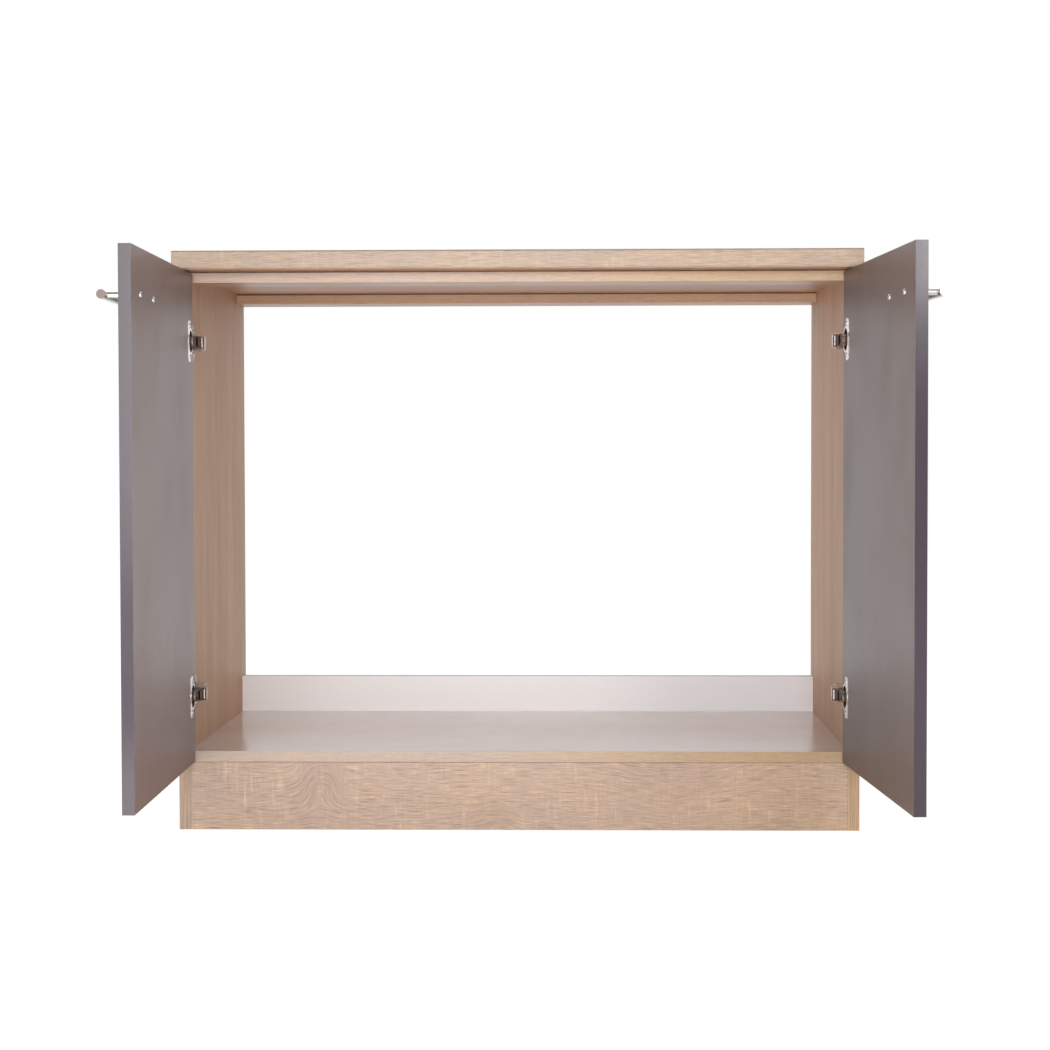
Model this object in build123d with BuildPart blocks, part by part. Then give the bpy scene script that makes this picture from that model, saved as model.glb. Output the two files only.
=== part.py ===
"""Sink base cabinet, 1000 mm wide, with two doors standing open.

Millimetres. The origin is at floor level, at the middle of the width, in the plane of
the front edges of the side panels. +X is to the right, +Y runs back into the cabinet
and +Z is up. The rest position has both doors open.
"""

import os
from math import cos, radians, sin

from build123d import *

os.makedirs("parts", exist_ok=True)

# ---------------------------------------------------------------- carcass sizes
unit_width = 1000.0
side_height = 820.0
side_depth = 560.0
side_board = 16.0  # thickness of the two side panels

plinth_height = 100.0
plinth_board = 16.0
plinth_setback = 0.0  # behind the front edges of the side panels

bottom_board = 16.0
edging = 1.0  # wood strip glued to a visible front edge

rail_board = 16.0
front_rail_depth = 80.0
rear_rail_depth = 80.0

back_board = 16.0
back_height = 60.0
back_inset = 24.0  # from the rear edges of the side panels to the back board

worktop_thickness = 28.0
worktop_overhang = 40.0  # in front of the side panels; the rear edges are level
nose_radius_low = 5.0
nose_radius_high = 3.0

# ---------------------------------------------------------------- carcass fittings
dowel_radius = 4.0
dowel_length = 30.0
dowel_in_side = 11.0
dowel_clearance = 0.1
dowel_end_gap = 0.3
bottom_dowel_inset = 60.0  # first and last dowel, from the edges of the bottom panel
rail_dowel_inset = 20.0
plinth_dowel_inset = 25.0
back_dowel_inset = 15.0

cam_radius = 7.5
cam_height = 12.5
cam_reach = 34.0  # from the end of the board to the middle of the cam
cam_clearance = 0.1
bolt_thread_radius = 2.5
bolt_thread_length = 11.0
bolt_shaft_radius = 3.4
bolt_clearance = 0.1
bottom_cam_inset = 100.0
rail_cam_inset = 54.0

worktop_screw_radius = 2.0
worktop_screw_head_radius = 4.0
worktop_screw_head = 2.4
worktop_screw_length = 35.0
worktop_screw_inset = 84.0  # first and last screw, from the side panels
worktop_screw_count = 3
screw_clearance = 0.1

# ---------------------------------------------------------------- doors
door_board = 16.0
door_gap = 3.0  # from a closed door to the front edges of the panels
door_reveal = 1.5  # from the outside of the cabinet to the edge of a closed door
door_centre_gap = 3.0  # between the two closed doors
door_top_gap = 3.5  # under the worktop
door_bottom_gap = 1.5  # above the lower face of the bottom panel
open_angle = {-1: 89.0, 1: 93.7}  # how far each door stands open at rest

# ---------------------------------------------------------------- hinges
axis_from_edge = 9.0  # swing axis, from the hinge edge of the door
axis_from_face = 15.0  # and from its inner face
hinge_from_top = 99.5
hinge_from_bottom = 98.5

cup_radius = 17.5
cup_edge_distance = 4.0  # wood left between the bore and the edge of the door
cup_depth = 12.8
cup_clearance = 0.2
cup_wall = 1.1
cup_floor = 0.9
flange_radius = 19.5
flange_thickness = 1.0
flange_corner = 2.0
ear_radius = 7.5
ear_offset = 9.5  # of the ears from the middle of the cup, away from the hinge edge
cup_screw_spacing = 45.0
cup_screw_radius = 1.75
cup_screw_head_radius = 3.4
cup_screw_head = 1.2
cup_screw_length = 12.0

plate_from_front = 37.0  # screws of the mounting plate, from the front edge
plate_screw_spacing = 32.0
plate_screw_radius = 2.0
plate_screw_head_radius = 3.8
plate_screw_head = 2.0
plate_screw_length = 12.0
wing_width = 14.0
wing_height = 52.0
wing_thickness = 2.2
block_start = 24.0
block_end = 72.0
block_half_height = 8.3

arm_half_height = 9.8
arm_metal = 1.2
arm_rear = 75.0
arm_rear_height = 13.5  # outside of the arm above the side panel, at its rear end
arm_nose_height = 24.0  # and at its nose
arm_bend_rear = 40.0
arm_bend_front = 22.0
arm_nose_front = 0.6
arm_low_edge = 5.0
arm_chin_start = 16.0
arm_window = 8.5  # the outside of the arm starts here, so that the links can swing
arm_screw_places = (48.0, 62.0)
arm_screw_radius = 2.0
arm_screw_head_radius = 3.5
arm_screw_head = 1.8
arm_screw_length = 8.0

pin_radius = 1.5
pin_clearance = 0.05
pin_overhang = 0.4

# A link is a cranked strip: its pin, its elbow and its tip are given as (off the side
# panel, behind the front edge), with the door open at a right angle. Half heights are
# measured from the middle of the hinge.
outer_link = {
    "pin": (21.0, 3.6),
    "elbow": (12.0, -20.5),
    "tip": (6.5, -20.2),
    "half_width": 1.9,
    "half_height": 8.4,
    "metal": 1.2,
    "web_share": 0.42,  # of the way from the pin to the elbow
    "ratio": 0.335,  # turn of the link for each degree of the door
}
inner_link = {
    "pin": (15.5, 4.7),
    "elbow": (13.0, -19.2),
    "tip": (7.5, -19.5),
    "half_width": 1.5,
    "half_height": 6.9,
    "metal": 1.2,
    "web_share": 0.6,
    "ratio": 0.42,
}
link_eye_extra = 1.1  # the eye round a pin is wider than the strip by this

# ---------------------------------------------------------------- handles
handle_below_top = 60.0
handle_from_edge = 64.0  # nearer post, from the free edge of the door
handle_spacing = 96.0
handle_overrun = 20.0
handle_radius = 6.0
handle_standoff = 30.0  # middle of the bar above the outer face of the door
post_radius = 4.0
post_in_bar = 3.0
post_clearance = 0.1
handle_screw_radius = 2.0
handle_screw_head_radius = 4.0
handle_screw_head = 2.2
handle_screw_length = 25.0

# ---------------------------------------------------------------- derived places
outer_half = unit_width / 2
inner_half = outer_half - side_board
bottom_top = plinth_height + bottom_board
rail_top = side_height
rail_bottom = side_height - rail_board
rear_rail_front = side_depth - rear_rail_depth
back_rear = side_depth - back_inset
back_front = back_rear - back_board
back_top = bottom_top + back_height
door_width = outer_half - door_reveal - door_centre_gap / 2
door_bottom = plinth_height + door_bottom_gap
door_top = side_height - door_top_gap
door_height = door_top - door_bottom
axis_x = outer_half - door_reveal - axis_from_edge
axis_y = -door_gap - axis_from_face
door_middle = (door_bottom + door_top) / 2
hinge_levels = {
    "upper": door_top - hinge_from_top,
    "lower": door_bottom + hinge_from_bottom,
}
cup_x = cup_edge_distance + cup_radius - axis_from_edge
sides = {"left": -1, "right": 1}
from_base = (Align.CENTER, Align.CENTER, Align.MIN)


def save(piece, name):
    """Label a finished piece and write it to its own file."""
    piece.part.label = name
    export_step(piece.part, f"parts/{name}.step")


def board(x_range, y_range, z_range):
    """Add a rectangular board, given by its limits, to the open part."""
    size = [end - start for start, end in (x_range, y_range, z_range)]
    middle = tuple((start + end) / 2 for start, end in (x_range, y_range, z_range))
    with Locations(middle):
        Box(*size)


def rod(point, direction, radius, length, mode=Mode.ADD):
    """Add or cut a round rod that starts at a point and runs in a direction."""
    with Locations(Plane(origin=point, z_dir=direction)):
        Cylinder(radius, length, align=from_base, mode=mode)


def bore(point, direction, radius, length):
    """Cut a round hole that starts at a point and runs in a direction."""
    rod(point, direction, radius, length, Mode.SUBTRACT)


# ---------------------------------------------------------------- joints of the boards
def spread(start, end, count):
    """Even places from start to end, both included."""
    return [start + (end - start) * i / (count - 1) for i in range(count)]


bottom_dowels = [(y, plinth_height + bottom_board / 2)
                 for y in spread(bottom_dowel_inset, side_depth - bottom_dowel_inset, 3)]
front_rail_dowels = [(rail_dowel_inset, rail_top - rail_board / 2)]
rear_rail_dowels = [(side_depth - rail_dowel_inset, rail_top - rail_board / 2)]
plinth_dowels = [(plinth_setback + plinth_board / 2, z)
                 for z in (plinth_dowel_inset, plinth_height - plinth_dowel_inset)]
back_dowels = [(back_front + back_board / 2, z)
               for z in (bottom_top + back_dowel_inset, back_top - back_dowel_inset)]
all_dowels = bottom_dowels + front_rail_dowels + rear_rail_dowels + plinth_dowels + back_dowels

# Each cam joint has a place in depth, a height and the face that its cam opens on.
bottom_cams = [(y, plinth_height + bottom_board / 2, plinth_height)
               for y in (bottom_cam_inset, side_depth - bottom_cam_inset)]
front_rail_cams = [(rail_cam_inset, rail_top - rail_board / 2, rail_top)]
rear_rail_cams = [(side_depth - rail_cam_inset, rail_top - rail_board / 2, rail_top)]
all_cams = bottom_cams + front_rail_cams + rear_rail_cams


def bore_ends(dowels, cams):
    """Cut the dowel, bolt and cam holes at both ends of a board between the sides."""
    for side in sides.values():
        inward = (-side, 0, 0)
        for y, z in dowels:
            depth = dowel_length - dowel_in_side + dowel_end_gap
            bore((side * inner_half, y, z), inward, dowel_radius + dowel_clearance, depth)
        for y, z, face in cams:
            bore((side * inner_half, y, z), inward, bolt_shaft_radius + bolt_clearance, cam_reach)
            into_board = (0, 0, 1 if z > face else -1)
            cam_middle = (side * (inner_half - cam_reach), y, face)
            bore(cam_middle, into_board, cam_radius + cam_clearance, cam_height)


def rail_screw_places(y_middle):
    """Where the worktop is screwed down through one rail."""
    half_row = inner_half - worktop_screw_inset
    return [(x, y_middle) for x in spread(-half_row, half_row, worktop_screw_count)]


front_screw_row = rail_screw_places(front_rail_depth / 2)
rear_screw_row = rail_screw_places(side_depth - rear_rail_depth / 2)


def carcass_frame(side):
    """Plane on the inner face of a side panel: x off the panel, y back from its front edge."""
    return Plane(origin=(side * inner_half, 0, 0), x_dir=(-side, 0, 0), z_dir=(0, 0, -side))


def door_frame(side):
    """Plane on the swing axis of an open door: x along the door, y towards its inner face."""
    angle = radians(open_angle[side])
    along = (-side * cos(angle), -sin(angle), 0)
    return Plane(origin=(side * axis_x, axis_y, 0), x_dir=along, z_dir=(0, 0, -side))


def link_frame(side, link):
    """Plane on a link's pin, turned as far as the open door has turned the link."""
    pin = carcass_frame(side).from_local_coords((*link["pin"], 0))
    turn = radians(link["ratio"] * (open_angle[side] - 90))
    return Plane(origin=pin, x_dir=(-side * cos(turn), sin(turn), 0), z_dir=(0, 0, -side))


def level(frame, side, height):
    """The same plane, at a height above the floor."""
    return frame.offset(-side * height)


def place(frame, side, x, y, height):
    """A point of a frame, at a height above the floor."""
    return frame.from_local_coords((x, y, -side * height))


# ---------------------------------------------------------------- carcass boards
def side_panel(name, side):
    """A side panel, with its dowel, bolt and hinge screw holes."""
    with BuildPart() as panel:
        board(sorted((side * inner_half, side * outer_half)), (0, side_depth), (0, side_height))
        outward = (side, 0, 0)
        for y, z in all_dowels:
            depth = dowel_in_side + dowel_end_gap
            bore((side * inner_half, y, z), outward, dowel_radius + dowel_clearance, depth)
        for y, z, _ in all_cams:
            radius = bolt_thread_radius + bolt_clearance
            bore((side * inner_half, y, z), outward, radius, bolt_thread_length + dowel_end_gap)
        for height in hinge_levels.values():
            for end in (-1, 1):
                z = height + end * plate_screw_spacing / 2
                start = (side * inner_half, plate_from_front, z)
                radius = plate_screw_radius + screw_clearance
                bore(start, outward, radius, plate_screw_length + dowel_end_gap)
    save(panel, f"{name}_side_panel")


for name, side in sides.items():
    side_panel(name, side)

between_sides = (-inner_half, inner_half)

with BuildPart() as bottom_panel:
    board(between_sides, (edging, side_depth), (plinth_height, bottom_top))
    bore_ends(bottom_dowels, bottom_cams)
save(bottom_panel, "bottom_panel")

with BuildPart() as bottom_panel_edging:
    board(between_sides, (0, edging), (plinth_height, bottom_top))
save(bottom_panel_edging, "bottom_panel_edging")

with BuildPart() as plinth:
    board(between_sides, (plinth_setback, plinth_setback + plinth_board), (0, plinth_height))
    bore_ends(plinth_dowels, [])
save(plinth, "plinth_board")

with BuildPart() as rear_board:
    board(between_sides, (back_front, back_rear), (bottom_top, back_top))
    bore_ends(back_dowels, [])
save(rear_board, "rear_board")


def rail(name, front, rear, dowels, cams, screws):
    """A flat rail with a wood strip on its front edge and holes for the worktop screws."""
    with BuildPart() as flat:
        board(between_sides, (front + edging, rear), (rail_bottom, rail_top))
        bore_ends(dowels, cams)
        for x, y in screws:
            bore((x, y, rail_bottom), (0, 0, 1), worktop_screw_radius + screw_clearance, rail_board)
            radius = worktop_screw_head_radius + screw_clearance
            bore((x, y, rail_bottom), (0, 0, 1), radius, worktop_screw_head)
    save(flat, name)
    with BuildPart() as strip:
        board(between_sides, (front, front + edging), (rail_bottom, rail_top))
    save(strip, f"{name}_edging")


rail("front_rail", 0, front_rail_depth, front_rail_dowels, front_rail_cams, front_screw_row)
rail("rear_rail", rear_rail_front, side_depth, rear_rail_dowels, rear_rail_cams, rear_screw_row)

with BuildPart() as worktop:
    top_range = (side_height, side_height + worktop_thickness)
    board((-outer_half, outer_half), (-worktop_overhang, side_depth), top_range)
    front_edges = worktop.edges().filter_by(Axis.X).group_by(Axis.Y)[0].sort_by(Axis.Z)
    fillet(front_edges[0], nose_radius_low)
    front_edges = worktop.edges().filter_by(Axis.X).group_by(Axis.Y)[0].sort_by(Axis.Z)
    fillet(front_edges[-1], nose_radius_high)
    for x, y in front_screw_row + rear_screw_row:
        depth = worktop_screw_length - rail_board + dowel_end_gap
        bore((x, y, side_height), (0, 0, 1), worktop_screw_radius + screw_clearance, depth)
save(worktop, "worktop")

# ---------------------------------------------------------------- carcass fasteners
with BuildPart() as panel_dowels:
    for side in sides.values():
        for y, z in all_dowels:
            start = (side * (inner_half + dowel_in_side), y, z)
            rod(start, (-side, 0, 0), dowel_radius, dowel_length)
save(panel_dowels, "panel_dowels")

with BuildPart() as cam_bolts:
    for side in sides.values():
        for y, z, _ in all_cams:
            start = (side * inner_half, y, z)
            rod(start, (side, 0, 0), bolt_thread_radius, bolt_thread_length)
            rod(start, (-side, 0, 0), bolt_shaft_radius, cam_reach)
save(cam_bolts, "cam_bolts")

with BuildPart() as cam_locks:
    for side in sides.values():
        for y, z, face in all_cams:
            into_board = (0, 0, 1 if z > face else -1)
            middle = side * (inner_half - cam_reach)
            rod((middle, y, face), into_board, cam_radius, cam_height - dowel_end_gap)
            bore((middle, y, z), (side, 0, 0), bolt_shaft_radius + bolt_clearance, cam_radius)
save(cam_locks, "cam_locks")

with BuildPart() as worktop_screws:
    for x, y in front_screw_row + rear_screw_row:
        rod((x, y, rail_bottom), (0, 0, 1), worktop_screw_radius, worktop_screw_length)
        rod((x, y, rail_bottom), (0, 0, 1), worktop_screw_head_radius, worktop_screw_head)
save(worktop_screws, "worktop_screws")


# ---------------------------------------------------------------- doors and handles
def handle_places(side):
    """The two posts of a handle, as (along the door, height)."""
    first = door_width - axis_from_edge - handle_from_edge
    height = door_top - handle_below_top
    return [(first, height), (first - handle_spacing, height)]


def cup_plane(side, height):
    """Plane on the inner face of a door, at the middle of a hinge cup."""
    frame = door_frame(side)
    middle = place(frame, side, cup_x, axis_from_face, height)
    return Plane(origin=middle, x_dir=frame.x_dir, z_dir=frame.y_dir)


def door_panel(name, side):
    """A door board with its cup bores and its screw holes."""
    frame = door_frame(side)
    to_inside = frame.y_dir
    to_outside = -frame.y_dir
    with BuildPart() as panel:
        with BuildSketch(level(frame, side, door_middle)):
            with Locations((door_width / 2 - axis_from_edge, axis_from_face - door_board / 2)):
                Rectangle(door_width, door_board)
        extrude(amount=door_height / 2, both=True)
        for height in hinge_levels.values():
            cup_middle = place(frame, side, cup_x, axis_from_face, height)
            bore(cup_middle, to_outside, cup_radius, cup_depth + cup_clearance)
            for end in (-1, 1):
                z = height + end * cup_screw_spacing / 2
                start = place(frame, side, cup_x + ear_offset, axis_from_face, z)
                radius = cup_screw_radius + screw_clearance
                bore(start, to_outside, radius, cup_screw_length + dowel_end_gap)
        for x, height in handle_places(side):
            start = place(frame, side, x, axis_from_face - door_board, height)
            bore(start, to_inside, handle_screw_radius + screw_clearance, door_board)
    save(panel, f"{name}_door_panel")


def handle(name, side):
    """A round bar on two posts, with the screws that hold them from inside."""
    frame = door_frame(side)
    to_inside = frame.y_dir
    to_outside = -frame.y_dir
    outer_face = axis_from_face - door_board
    post_length = handle_standoff - handle_radius + post_in_bar
    screw_in_post = handle_screw_length - door_board
    places = handle_places(side)
    bar_length = handle_spacing + 2 * handle_overrun
    with BuildPart() as bar:
        x, height = places[1]
        start = place(frame, side, x - handle_overrun, outer_face - handle_standoff, height)
        rod(start, frame.x_dir, handle_radius, bar_length)
        for x, height in places:
            base = place(frame, side, x, outer_face, height)
            bore(base, to_outside, post_radius + post_clearance, post_length)
    save(bar, f"{name}_handle_bar")
    with BuildPart() as posts:
        for x, height in places:
            base = place(frame, side, x, outer_face, height)
            rod(base, to_outside, post_radius, post_length)
            bore(base, to_outside, handle_screw_radius + screw_clearance, screw_in_post + dowel_end_gap)
    save(posts, f"{name}_handle_posts")
    with BuildPart() as screws:
        for x, height in places:
            seat = place(frame, side, x, axis_from_face, height)
            rod(seat, to_outside, handle_screw_radius, handle_screw_length)
            rod(seat, to_inside, handle_screw_head_radius, handle_screw_head)
    save(screws, f"{name}_handle_screws")


for name, side in sides.items():
    door_panel(name, side)
    handle(name, side)


# ---------------------------------------------------------------- hinges
def hinge_cup(name, side, height):
    """The round cup in the door, with its flange and the straight plate of its two ears."""
    seat = cup_plane(side, height)
    to_outside = -seat.z_dir
    with BuildPart() as cup:
        with BuildSketch(seat):
            Circle(flange_radius)
            with Locations((ear_offset, 0)):
                RectangleRounded(2 * ear_radius, cup_screw_spacing + 2 * ear_radius, flange_corner)
        extrude(amount=flange_thickness)
        rod(seat.origin, to_outside, cup_radius - cup_clearance, cup_depth)
        mouth = seat.origin + seat.z_dir * flange_thickness
        inside = flange_thickness + cup_depth - cup_floor
        bore(mouth, to_outside, cup_radius - cup_clearance - cup_wall, inside)
        for end in (-1, 1):
            ear = seat.from_local_coords((ear_offset, end * cup_screw_spacing / 2, flange_thickness))
            bore(ear, to_outside, cup_screw_radius + screw_clearance, flange_thickness)
    save(cup, f"{name}_cup")
    with BuildPart() as screws:
        for end in (-1, 1):
            ear = seat.from_local_coords((ear_offset, end * cup_screw_spacing / 2, flange_thickness))
            rod(ear, to_outside, cup_screw_radius, cup_screw_length + flange_thickness)
            rod(ear, seat.z_dir, cup_screw_head_radius, cup_screw_head)
    save(screws, f"{name}_cup_screws")


def mounting_plate(name, side, height):
    """The cross-shaped plate on the side panel, and its two screws."""
    frame = carcass_frame(side)
    off_panel = frame.x_dir
    block_height = arm_rear_height - arm_metal
    with BuildPart() as plate:
        with BuildSketch(level(frame, side, height)):
            with Locations((wing_thickness / 2, plate_from_front)):
                Rectangle(wing_thickness, wing_width)
        extrude(amount=wing_height / 2, both=True)
        with BuildSketch(level(frame, side, height)):
            with Locations((block_height / 2, (block_start + block_end) / 2)):
                Rectangle(block_height, block_end - block_start)
        extrude(amount=block_half_height, both=True)
        for end in (-1, 1):
            hole = place(frame, side, 0, plate_from_front, height + end * plate_screw_spacing / 2)
            bore(hole, off_panel, plate_screw_radius + screw_clearance, wing_thickness)
        for y in arm_screw_places:
            hole = place(frame, side, block_height, y, height)
            bore(hole, -off_panel, arm_screw_radius + screw_clearance, arm_screw_length)
    save(plate, f"{name}_mounting_plate")
    with BuildPart() as screws:
        for end in (-1, 1):
            z = height + end * plate_screw_spacing / 2
            seat = place(frame, side, wing_thickness, plate_from_front, z)
            rod(seat, -off_panel, plate_screw_radius, wing_thickness + plate_screw_length)
            rod(seat, off_panel, plate_screw_head_radius, plate_screw_head)
    save(screws, f"{name}_plate_screws")


def hinge_arm(name, side, height):
    """The folded arm over the plate, its two screws and the two pivot pins in its nose."""
    frame = carcass_frame(side)
    middle = level(frame, side, height)
    outline = [
        (arm_low_edge, arm_rear),
        (arm_rear_height, arm_rear),
        (arm_rear_height, arm_bend_rear),
        (arm_nose_height, arm_bend_front),
        (arm_nose_height, arm_nose_front),
        (inner_link["pin"][0] - 2 * pin_radius, arm_nose_front + pin_radius),
        (arm_low_edge, arm_chin_start),
    ]
    hollow = [
        (-1, arm_rear + 1),
        (arm_rear_height - arm_metal, arm_rear + 1),
        (arm_rear_height - arm_metal, arm_bend_rear - arm_metal / 2),
        (arm_nose_height - arm_metal, arm_bend_front - arm_metal / 2),
        (arm_nose_height - arm_metal, arm_window),
        (arm_nose_height + 1, arm_window),
        (arm_nose_height + 1, arm_nose_front - 1),
        (-1, arm_nose_front - 1),
    ]
    pins = (outer_link["pin"], inner_link["pin"])
    with BuildPart() as arm:
        with BuildSketch(middle):
            with BuildLine():
                Polyline(*outline, close=True)
            make_face()
        extrude(amount=arm_half_height, both=True)
        with BuildSketch(middle):
            with BuildLine():
                Polyline(*hollow, close=True)
            make_face()
        extrude(amount=arm_half_height - arm_metal, both=True, mode=Mode.SUBTRACT)
        for u, y in pins:
            start = place(frame, side, u, y, height - arm_half_height)
            bore(start, (0, 0, 1), pin_radius + pin_clearance, 2 * arm_half_height)
        for y in arm_screw_places:
            start = place(frame, side, arm_rear_height, y, height)
            bore(start, -frame.x_dir, arm_screw_radius + screw_clearance, arm_metal)
    save(arm, f"{name}_arm")
    with BuildPart() as screws:
        for y in arm_screw_places:
            start = place(frame, side, arm_rear_height, y, height)
            rod(start, -frame.x_dir, arm_screw_radius, arm_screw_length)
            rod(start, frame.x_dir, arm_screw_head_radius, arm_screw_head)
    save(screws, f"{name}_arm_screws")
    with BuildPart() as pivots:
        for u, y in pins:
            start = place(frame, side, u, y, height - arm_half_height - pin_overhang)
            rod(start, (0, 0, 1), pin_radius, 2 * (arm_half_height + pin_overhang))
    save(pivots, f"{name}_pivot_pins")


def hinge_link(name, side, height, link):
    """Two cranked strips, one above the other, joined by a web near their pin."""
    middle = level(link_frame(side, link), side, height)
    pin_u, pin_y = link["pin"]
    elbow = Vector(link["elbow"][0] - pin_u, link["elbow"][1] - pin_y)
    tip = Vector(link["tip"][0] - pin_u, link["tip"][1] - pin_y)
    width = 2 * link["half_width"]
    web_end = elbow * link["web_share"]
    eye_radius = link["half_width"] + link_eye_extra
    inner_half_height = link["half_height"] - link["metal"]
    with BuildPart() as strip:
        with BuildSketch(middle):
            Circle(eye_radius)
            SlotCenterPoint((elbow.X / 2, elbow.Y / 2), (elbow.X, elbow.Y), width)
            SlotCenterPoint(
                ((elbow.X + tip.X) / 2, (elbow.Y + tip.Y) / 2), (tip.X, tip.Y), width
            )
        extrude(amount=link["half_height"], both=True)
        with BuildSketch(middle):
            Circle(eye_radius + 1)
            SlotCenterPoint((elbow.X / 2, elbow.Y / 2), (elbow.X, elbow.Y), width + 1)
            SlotCenterPoint(
                ((elbow.X + tip.X) / 2, (elbow.Y + tip.Y) / 2), (tip.X, tip.Y), width + 1
            )
        extrude(amount=inner_half_height, both=True, mode=Mode.SUBTRACT)
        with BuildSketch(middle):
            start = elbow.normalized() * eye_radius
            web_middle = (start + web_end) / 2
            SlotCenterPoint((web_middle.X, web_middle.Y), (web_end.X, web_end.Y), link["metal"])
        extrude(amount=inner_half_height, both=True)
        eye = middle.origin - Vector(0, 0, link["half_height"])
        bore(eye, (0, 0, 1), pin_radius + pin_clearance, 2 * link["half_height"])
    save(strip, name)


for side_name, side in sides.items():
    for level_name, height in hinge_levels.items():
        hinge_name = f"{side_name}_{level_name}"
        hinge_cup(hinge_name, side, height)
        mounting_plate(hinge_name, side, height)
        hinge_arm(hinge_name, side, height)
        hinge_link(f"{hinge_name}_outer_link", side, height, outer_link)
        hinge_link(f"{hinge_name}_inner_link", side, height, inner_link)
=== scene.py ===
"""Sink base cabinet in light oak boards, with grey doors and brushed nickel handles.

Metres, in the cabinet's own frame: +X right, +Y back into the cabinet, +Z up.
"""
from math import cos, pi, radians, sin

import bmesh
import bpy
from mathutils import Matrix, Vector


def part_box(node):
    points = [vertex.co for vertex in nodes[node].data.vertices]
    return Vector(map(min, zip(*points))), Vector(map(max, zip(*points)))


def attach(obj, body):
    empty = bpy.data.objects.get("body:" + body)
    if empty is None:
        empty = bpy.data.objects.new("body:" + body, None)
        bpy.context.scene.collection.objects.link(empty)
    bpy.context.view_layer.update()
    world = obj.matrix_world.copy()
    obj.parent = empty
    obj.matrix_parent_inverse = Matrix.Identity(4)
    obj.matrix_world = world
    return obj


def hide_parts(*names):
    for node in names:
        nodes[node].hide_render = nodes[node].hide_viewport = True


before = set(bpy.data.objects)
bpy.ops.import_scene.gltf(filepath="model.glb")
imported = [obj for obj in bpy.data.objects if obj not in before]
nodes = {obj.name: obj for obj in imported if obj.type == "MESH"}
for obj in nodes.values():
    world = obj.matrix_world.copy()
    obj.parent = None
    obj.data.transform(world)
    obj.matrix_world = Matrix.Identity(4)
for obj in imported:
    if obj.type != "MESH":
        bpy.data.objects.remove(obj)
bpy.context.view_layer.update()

# ---------------------------------------------------------------- the cabinet's own places
sides = {"left": -1, "right": 1}
inner_half = 0.484  # from the middle of the cabinet to the inner face of a side panel
swing_axis = (0.4895, -0.018)  # of a door: x from the middle of the cabinet, and y
open_angle = {-1: radians(89.0), 1: radians(93.7)}  # of the door on each side, at rest
inner_face = 0.015  # of a door, from its swing axis
free_edge = 0.488  # of a door, from its swing axis
hinge_levels = {"upper": 0.717, "lower": 0.200}  # height of the middle of a hinge
plinth_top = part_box("plinth_board")[1][2]
rail_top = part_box("front_rail")[1][2]
back_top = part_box("rear_board")[1][2]
worktop_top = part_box("worktop")[1][2]


def panel_frame(side, height):
    """Inner face of a side panel: x off the panel, y back from its front edge."""
    turn = Matrix(((-side, 0, 0), (0, 1, 0), (0, 0, 1))).to_4x4()
    return Matrix.Translation((side * inner_half, 0, height)) @ turn


def door_axes(side):
    """The directions along a door at rest, to its free edge, and towards its inner face."""
    angle = open_angle[side]
    along = Vector((-side * cos(angle), -sin(angle), 0))
    inward = Vector((-side * sin(angle), cos(angle), 0))
    return along, inward


def hinge_line(side, height=0.0):
    """A point on the swing axis of a door."""
    return Vector((side * swing_axis[0], swing_axis[1], height))


def door_frame(side, height):
    """Swing axis of a door: x along the door, y towards its inner face."""
    along, inward = door_axes(side)
    turn = Matrix((along, inward, Vector((0, 0, 1)))).transposed().to_4x4()
    return Matrix.Translation(hinge_line(side, height)) @ turn


# ---------------------------------------------------------------- camera
camera_place = Vector((0.0965, -3.3334, 0.5569))
camera_yaw = 0.0257  # radians, turned to the left
camera_tilt = 0.0324  # radians, tipped down
camera_roll = -0.0019
sensor_width = 36.0
frame_pixels = 1050
focal_pixels = 2278.4
clip_end = 60


def add_camera():
    """The camera at the photograph's place, with its exact direction and lens."""
    forward = Vector((
        -sin(camera_yaw) * cos(camera_tilt),
        cos(camera_yaw) * cos(camera_tilt),
        -sin(camera_tilt),
    ))
    level_right = Vector((cos(camera_yaw), sin(camera_yaw), 0))
    level_up = level_right.cross(forward)
    right = level_right * cos(camera_roll) + level_up * sin(camera_roll)
    up = level_up * cos(camera_roll) - level_right * sin(camera_roll)
    camera = bpy.data.objects.new("camera", bpy.data.cameras.new("camera"))
    bpy.context.scene.collection.objects.link(camera)
    turn = Matrix((right, up, -forward)).transposed()
    camera.matrix_world = Matrix.Translation(camera_place) @ turn.to_4x4()
    camera.data.sensor_fit = "HORIZONTAL"
    camera.data.sensor_width = sensor_width
    camera.data.lens = sensor_width * focal_pixels / frame_pixels
    camera.data.clip_end = clip_end
    bpy.context.scene.camera = camera


# ---------------------------------------------------------------- node helpers
FLOAT = "NodeSocketFloat"
COLOUR = "NodeSocketColor"
VECTOR = "NodeSocketVector"


def feed(tree, socket, value):
    """Link a socket to an input, or set the input to a value."""
    if isinstance(value, bpy.types.NodeSocket):
        tree.links.new(value, socket)
    else:
        socket.default_value = value


def add_node(tree, kind, inputs=None, **settings):
    """A shader node with its settings and inputs."""
    node = tree.nodes.new(kind)
    for key, value in settings.items():
        setattr(node, key, value)
    for key, value in (inputs or {}).items():
        feed(tree, node.inputs[key], value)
    return node


def maths(tree, operation, *values):
    """The output of one maths node."""
    inputs = dict(enumerate(values))
    return add_node(tree, "ShaderNodeMath", inputs, operation=operation).outputs[0]


def blend(tree, factor, first, second, mode="MIX"):
    """The colour output of a mix node."""
    node = add_node(tree, "ShaderNodeMix", data_type="RGBA", blend_type=mode)
    for index, value in ((0, factor), (6, first), (7, second)):
        feed(tree, node.inputs[index], value)
    return node.outputs[2]


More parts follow.
